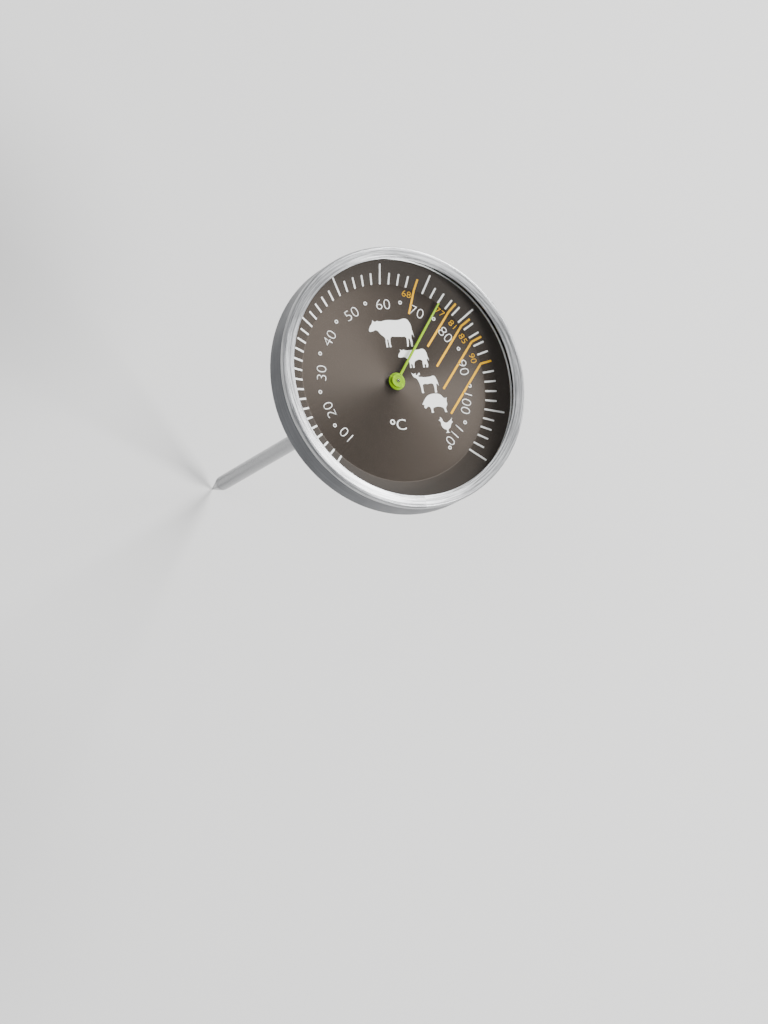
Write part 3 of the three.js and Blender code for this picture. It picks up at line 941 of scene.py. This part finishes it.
class THERMO_OT_guides(Operator):
    """Orange guide lines: out along the band, bent at the crease and then straight across the dial"""

    bl_idname = "thermometer.guides"
    bl_label = "Guide lines"

    def execute(self, context):
        settings = context.scene.thermometer_dial
        orange = printed_ink("orange_ink", settings.orange)
        pieces = []
        for celsius, length in GUIDES.items():
            angle = clock(settings, celsius)
            pieces.append(tick(settings, celsius, SHORT_TICK, GUIDE_WIDTH * MM))
            direction = angle if celsius == min(GUIDES) else GUIDE_DIRECTION
            line = printed_bar(settings, length, GUIDE_WIDTH * MM)
            bend = dial_point(GUIDE_BEND_RADIUS, angle)
            pieces.append(set_down(line, *bend, DIAL_TOP, turn=math.pi - direction))
            label = printed_text(
                settings, "guide_number", str(celsius), GUIDE_NUMBER_HEIGHT, GUIDE_NUMBER_THINNING)
            beside = angle - GUIDE_NUMBER_LEAD
            pieces.append(set_down(label, *dial_point(GUIDE_NUMBER_RADIUS, beside), DIAL_TOP, turn=-beside))
        finish_piece(join("guide_lines", pieces), "case", "scale_orange", orange)
        return {"FINISHED"}


# Outlines of the animal pictures, in millimetres about the middle of each, all facing left.
# A point with a third value of 1 is a sharp corner; the others are joined by smooth curves.
COW = [
    (-6.7, 0.6), (-6.5, 1.6), (-5.5, 3.0), (-5.3, 3.7, 1), (-4.7, 3.2), (-3.9, 3.5, 1), (-3.4, 3.3),
    (-1.0, 3.6), (2.4, 3.5), (5.0, 3.8), (6.0, 2.6), (6.4, 0.4), (6.7, -1.6, 1), (6.2, -0.6),
    (5.8, -1.5), (6.0, -2.7), (5.9, -4.0, 1), (5.4, -4.0, 1), (5.4, -2.7), (5.0, -1.7), (4.8, -2.8),
    (4.6, -4.0, 1), (4.1, -4.0, 1), (4.3, -2.6), (4.1, -1.3), (3.0, -1.2), (0.9, -1.1), (-0.4, -1.2),
    (-0.8, -2.6), (-0.7, -4.0, 1), (-1.2, -4.0, 1), (-1.3, -2.6), (-1.5, -1.8), (-1.7, -2.8),
    (-1.7, -4.0, 1), (-2.2, -4.0, 1), (-2.2, -2.6), (-2.2, -1.5), (-3.3, -0.4), (-4.6, 0.9),
    (-5.7, 0.6),
]
CALF = [
    (-4.6, 0.5), (-4.5, 1.1), (-3.8, 2.1), (-3.9, 2.6, 1), (-3.3, 2.3), (-2.8, 2.5, 1), (-2.5, 2.3),
    (-0.6, 2.3), (1.6, 2.3), (3.2, 2.5), (4.0, 1.7), (4.2, 0.6), (4.6, -0.9, 1), (4.1, -0.3),
    (3.9, -0.9), (4.1, -1.9), (3.9, -2.7, 1), (3.4, -2.7, 1), (3.4, -1.8), (3.0, -1.9), (3.0, -2.7, 1),
    (2.5, -2.7, 1), (2.5, -1.6), (2.4, -0.7), (0.4, -0.8), (-0.1, -1.5), (-0.2, -2.7, 1),
    (-0.7, -2.7, 1), (-0.7, -1.8), (-1.0, -1.6), (-1.1, -2.7, 1), (-1.6, -2.7, 1), (-1.5, -1.4),
    (-1.9, -0.4), (-2.9, 0.4), (-3.9, 0.3),
]
LAMB = [
    (-3.9, 2.9, 1), (-3.2, 2.5), (-2.7, 2.7), (-2.6, 2.2), (-1.5, 2.9, 1), (-1.3, 2.4), (-1.9, 1.9),
    (-0.9, 1.6), (1.6, 1.6), (2.9, 1.8), (3.5, 0.9), (4.0, -1.1, 1), (3.4, -0.4), (3.2, -1.2),
    (3.1, -2.9, 1), (2.5, -2.9, 1), (2.5, -1.2), (2.2, -0.4), (0.6, -0.4), (-0.8, -0.5), (-1.0, -1.5),
    (-0.9, -2.9, 1), (-1.5, -2.9, 1), (-1.6, -1.3), (-1.9, 0.0), (-2.5, 1.2), (-3.3, 1.7),
]
PIG = [
    (-3.9, -0.2, 1), (-3.3, 0.7), (-2.0, 2.1), (0.0, 2.7), (2.0, 2.4), (3.3, 1.3), (3.9, 1.5, 1),
    (3.7, 0.6), (3.7, -0.5), (3.2, -1.4), (3.4, -2.6, 1), (2.8, -2.6, 1), (2.5, -1.5), (1.8, -1.1),
    (-0.2, -1.1), (-0.8, -1.5), (-0.7, -2.6, 1), (-1.4, -2.6, 1), (-1.5, -1.3), (-2.1, -0.8),
    (-3.0, -1.4, 1), (-3.4, -0.9), (-3.3, -0.4),
]
HEN = [
    (-2.2, 1.4, 1), (-1.7, 1.6), (-1.6, 2.3, 1), (-1.1, 1.7), (-0.8, 0.9), (0.1, 0.5), (0.9, 0.9),
    (2.1, 1.9, 1), (1.8, 1.0), (2.1, 0.7, 1), (1.5, 0.1), (1.1, -0.8), (0.4, -1.4), (0.4, -2.0),
    (0.8, -2.3, 1), (-0.5, -2.3, 1), (-0.1, -2.0), (-0.1, -1.5), (-0.9, -1.1), (-1.5, -0.2),
    (-1.6, 0.8),
]

# Each picture with the place of its middle on the dial.
PICTURES = [(COW, 1.3, 13.9), (CALF, 6.9, 6.6), (LAMB, 9.3, -0.4), (PIG, 11.2, -6.3), (HEN, 13.7, -12.4)]


def silhouette(name, outline, thickness):
    """A closed outline as a smooth curve, filled, made a mesh and given its thickness."""
    deselect_all()
    bpy.ops.curve.primitive_bezier_circle_add()
    shape = name_active(name)
    shape.data.dimensions = "2D"
    shape.data.fill_mode = "BOTH"
    shape.data.resolution_u = 5
    shape.data.splines.clear()
    spline = shape.data.splines.new("BEZIER")
    spline.bezier_points.add(len(outline) - 1)
    for point, (x, y, *corner) in zip(spline.bezier_points, outline):
        point.co = (x * MM, y * MM, 0)
        kind = "VECTOR" if corner else "AUTO"
        point.handle_left_type = kind
        point.handle_right_type = kind
    spline.use_cyclic_u = True
    bpy.ops.object.convert(target="MESH")
    return thicken(name_active(name), thickness)


class THERMO_OT_pictures(Operator):
    """White pictures of the animals that the guide lines stand for"""

    bl_idname = "thermometer.pictures"
    bl_label = "Pictures"

    def execute(self, context):
        settings = context.scene.thermometer_dial
        pieces = [
            set_down(silhouette("picture", outline, settings.ink), x, y, DIAL_TOP)
            for outline, x, y in PICTURES
        ]
        finish_piece(join("animal_pictures", pieces), "case", "scale_white", white_ink(settings))
        return {"FINISHED"}


# ---- Pointer, stem and inner parts ---------------------------------------------------------------

class THERMO_OT_pointer(Operator):
    """Lime green pointer: stamped disc and needle, with the pressed boss on the spindle"""

    bl_idname = "thermometer.pointer"
    bl_label = "Pointer"

    def execute(self, context):
        settings = context.scene.thermometer_pointer
        lime = lime_lacquer(settings.lime)
        hole, tip, bottom, top = spread("pointer")
        disc_radius = 2.4
        overlap = 0.35
        narrowing = 0.7
        disc = ring("disc", hole, disc_radius, bottom, top, bevel=0.12, sides=HUB_SIDES)
        deselect_all()
        bpy.ops.mesh.primitive_cube_add(size=1)
        needle = name_active("needle")
        root = disc_radius - overlap
        needle.scale = (settings.needle_width, (tip - root) * MM, (top - bottom) * MM)
        needle.location = (0, (tip + root) / 2 * MM, (top + bottom) / 2 * MM)
        bpy.ops.object.transform_apply(location=True, rotation=True, scale=True)
        bpy.ops.object.mode_set(mode="EDIT")
        select_faces(needle, lambda face: face.normal.y > 0.9)
        bpy.ops.transform.resize(value=(narrowing, 1, 1), center_override=(0, tip * MM, 0))
        bpy.ops.object.mode_set(mode="OBJECT")
        apply_bevel(needle, width=0.09, segments=2)
        bpy.ops.object.shade_smooth_by_angle(angle=SMOOTH_ANGLE)
        pointer = set_down(join("lime_pointer", [disc, needle]), turn=-rest_turn())
        finish_piece(pointer, "movement", "pointer_paint", lime, "pointer")

        bore, rim, foot, boss_top = spread("pointer_boss")
        _, sleeve = radii_at("pointer_boss", foot)
        seat = top + PRESS_GAP
        rim_width = 0.35
        slope = 0.25
        dish = boss_top - 0.05
        collet = bore + 0.1
        boss = turned("lime_boss", [
            (bore, foot), (sleeve, foot), (sleeve, seat), (rim, seat), (rim, boss_top),
            (rim - rim_width, boss_top), (rim - rim_width - slope, dish), (collet + 0.15, dish),
            (collet, boss_top), (bore, boss_top), (bore, foot),
        ], sides=HUB_SIDES, bevel=0.05, segments=2)
        finish_piece(boss, "movement", "pointer_paint", lime, "pointer_boss")
        return {"FINISHED"}


class THERMO_OT_stem(Operator):
    """Ground stem, its welded point, the collar with its grip groove and the black seal"""

    bl_idname = "thermometer.stem"
    bl_label = "Stem"

    def execute(self, context):
        settings = context.scene.thermometer_stem
        steel = ground_steel("ground_stem", settings.steel, roughness=0.2)
        bore, radius, foot, top = spread("stem_tube")
        tube = ring("stem", bore, radius, foot, top, bevel=0.03, sides=STEM_SIDES)
        finish_piece(tube, "case", "stem_steel", steel, "stem_tube")

        _, _, point, plug_top = spread("stem_tip")
        _, plug_radius = radii_at("stem_tip", plug_top)
        shank = foot - PRESS_GAP
        # Radius and height above the point: a blunt end, a long cone and a soft start of the shank.
        sharpened = [(0.08, 0.02), (0.2, 0.16), (0.62 * radius, 4.9), (0.93 * radius, 7.4)]
        tip = turned("stem_point", [
            *((width, point + height) for width, height in sharpened), (radius, shank - 0.6),
            (radius, shank), (plug_radius, shank), (plug_radius, plug_top),
        ], sides=STEM_SIDES, bevel=0.03, segments=2)
        finish_piece(tip, "case", "stem_steel", steel, "stem_tip")

        socket = radius + PRESS_GAP
        stop = top + PRESS_GAP
        _, collar, taper_foot, neck_top = spread("stem_bushing")
        _, taper = radii_at("stem_bushing", taper_foot)
        _, neck = radii_at("stem_bushing", neck_top)
        collar_foot = taper_foot + 2.5
        collar_top = collar_foot + 4.0
        chamfer = 0.3
        groove = collar - 0.25
        # Height above the collar's foot: the groove's lower edge, its floor and its upper edge.
        groove_heights = (1.3, 1.5, 2.1, 2.3)
        groove_points = [
            (width, collar_foot + height)
            for width, height in zip((collar, groove, groove, collar), groove_heights)
        ]
        bushing = turned("stem_collar", [
            (socket, taper_foot), (taper, taper_foot), (collar - chamfer, collar_foot),
            (collar, collar_foot + chamfer), *groove_points, (collar, collar_top), (neck, collar_top),
            (neck, neck_top), (bore, neck_top), (bore, stop), (socket, stop), (socket, taper_foot),
        ], sides=HUB_SIDES, bevel=0.06, segments=2)
        collar_steel = ground_steel("turned_collar", settings.steel, roughness=0.26)
        finish_piece(bushing, "case", "stem_steel", collar_steel, "stem_bushing")
        seal = ring("collar_seal", *spread("seal_washer"), bevel=0.08, sides=HUB_SIDES)
        finish_piece(seal, "case", "black_seal", black_silicone(), "seal_washer")
        return {"FINISHED"}


class THERMO_OT_inner_parts(Operator):
    """Finishes of the parts inside: spindle, bushes, nut, washer, ring, helix and its ends"""

    bl_idname = "thermometer.inner_parts"
    bl_label = "Inner parts"

    def execute(self, context):
        steel = mill_steel()
        brass = turned_brass()
        finishes = {
            "dial_seat_ring": steel, "lock_washer": steel, "spindle": spindle_steel(),
            "bushing_nut": brass, "upper_bearing": brass, "middle_bearing": brass, "lower_bearing": brass,
            "helix_anchor": brass, "helix_collar": brass, "bimetal_helix": bimetal_strip(),
        }
        for node, material in finishes.items():
            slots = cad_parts[node].data.materials
            slots.clear()
            slots.append(material)
        return {"FINISHED"}


# ---- Stage ---------------------------------------------------------------------------------------

# Name, place in metres, size in metres and power in watts.
LIGHTS = [
    ("key_light", (1.0, 0.86, 0.95), (0.7, 0.7), 43),
    ("low_light", (0.66, -0.68, 1.08), (0.5, 0.4), 30),
    ("left_light", (-0.75, 0.15, 1.0), (0.5, 0.5), 3),
    ("right_light", (1.2, 0.2, 0.55), (0.4, 0.4), 4),
]
ROOM_COLOUR = (0.85, 0.87, 0.9, 1)
ROOM_STRENGTH = 0.5
FLOOR_SIZE = 6
AIM = Vector((-13.13, -36.93, FRONT)) * MM


def soft_light(name, location, size, power):
    """A rectangular area light turned towards the origin."""
    deselect_all()
    bpy.ops.object.light_add(type="AREA", location=location)
    light = bpy.context.object
    light.name = name
    light.data.shape = "RECTANGLE"
    light.data.size, light.data.size_y = size
    light.data.energy = power
    light.rotation_euler = (-Vector(location)).to_track_quat("-Z", "Y").to_euler()


def pale_floor(colour):
    recipe = Recipe("pale_floor", Specular_IOR_Level=0.25)
    speckle = recipe.noise(recipe.position(), 60.0, 4.0)
    recipe.colour(recipe.blend_colours(speckle, darker(colour, 0.99), darker(colour, 1.01)))
    recipe.roughness(recipe.span(speckle, 0.6, 0.7))
    return recipe.material


class THERMO_OT_stage(Operator):
    """Pale floor under the stem's tip, soft studio lights and the camera"""

    bl_idname = "thermometer.stage"
    bl_label = "Stage"

    def execute(self, context):
        settings = context.scene.thermometer_stage
        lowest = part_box("stem_tip")[0].z
        deselect_all()
        bpy.ops.mesh.primitive_plane_add(size=FLOOR_SIZE, location=(0, 0, lowest))
        floor = name_active("floor")
        floor.data.materials.append(pale_floor(settings.floor))

        for light in LIGHTS:
            soft_light(*light)

        world = bpy.data.worlds.new("studio")
        world.use_nodes = True
        background = world.node_tree.nodes["Background"]
        background.inputs["Color"].default_value = ROOM_COLOUR
        background.inputs["Strength"].default_value = ROOM_STRENGTH
        context.scene.world = world

        deselect_all()
        bpy.ops.object.camera_add()
        camera = bpy.context.object
        camera.name = "camera"
        camera.data.lens = settings.lens
        across = math.cos(settings.elevation)
        back = Vector((
            math.sin(settings.azimuth) * across,
            -math.cos(settings.azimuth) * across,
            math.sin(settings.elevation)))
        camera.location = AIM + back * settings.distance
        level = (-back).to_track_quat("-Z", "Y")
        camera.rotation_euler = (level @ Quaternion((0, 0, 1), settings.roll)).to_euler()
        camera.data.clip_start = 0.01
        context.scene.camera = camera
        return {"FINISHED"}


class THERMO_PT_panel(Panel):
    """Lists the settings and the operators in the 3D view's sidebar"""

    bl_label = "Meat thermometer"
    bl_idname = "THERMO_PT_panel"
    bl_space_type = "VIEW_3D"
    bl_region_type = "UI"
    bl_category = "Thermometer"

    def draw(self, context):
        for name, group in SETTINGS.items():
            box = self.layout.box()
            box.label(text=group.__doc__)
            for field in group.__annotations__:
                box.prop(getattr(context.scene, name), field)
        for operator in OPERATORS:
            self.layout.operator(operator.bl_idname)


SETTINGS = {
    "thermometer_case": CaseSettings,
    "thermometer_dial": DialSettings,
    "thermometer_pointer": PointerSettings,
    "thermometer_stem": StemSettings,
    "thermometer_stage": StageSettings,
}
OPERATORS = (
    THERMO_OT_case, THERMO_OT_bezel, THERMO_OT_glass, THERMO_OT_dial, THERMO_OT_ticks, THERMO_OT_numbers,
    THERMO_OT_guides, THERMO_OT_pictures, THERMO_OT_pointer, THERMO_OT_stem, THERMO_OT_inner_parts,
    THERMO_OT_stage,
)
CLASSES = (*SETTINGS.values(), *OPERATORS, THERMO_PT_panel)


def register():
    for cls in CLASSES:
        bpy.utils.register_class(cls)
    for name, group in SETTINGS.items():
        setattr(bpy.types.Scene, name, PointerProperty(type=group))


def unregister():
    for name in SETTINGS:
        delattr(bpy.types.Scene, name)
    for cls in reversed(CLASSES):
        bpy.utils.unregister_class(cls)


def main():
    register()
    for operator in OPERATORS:
        group, name = operator.bl_idname.split(".")
        getattr(getattr(bpy.ops, group), name)()


if __name__ == "__main__":
    main()
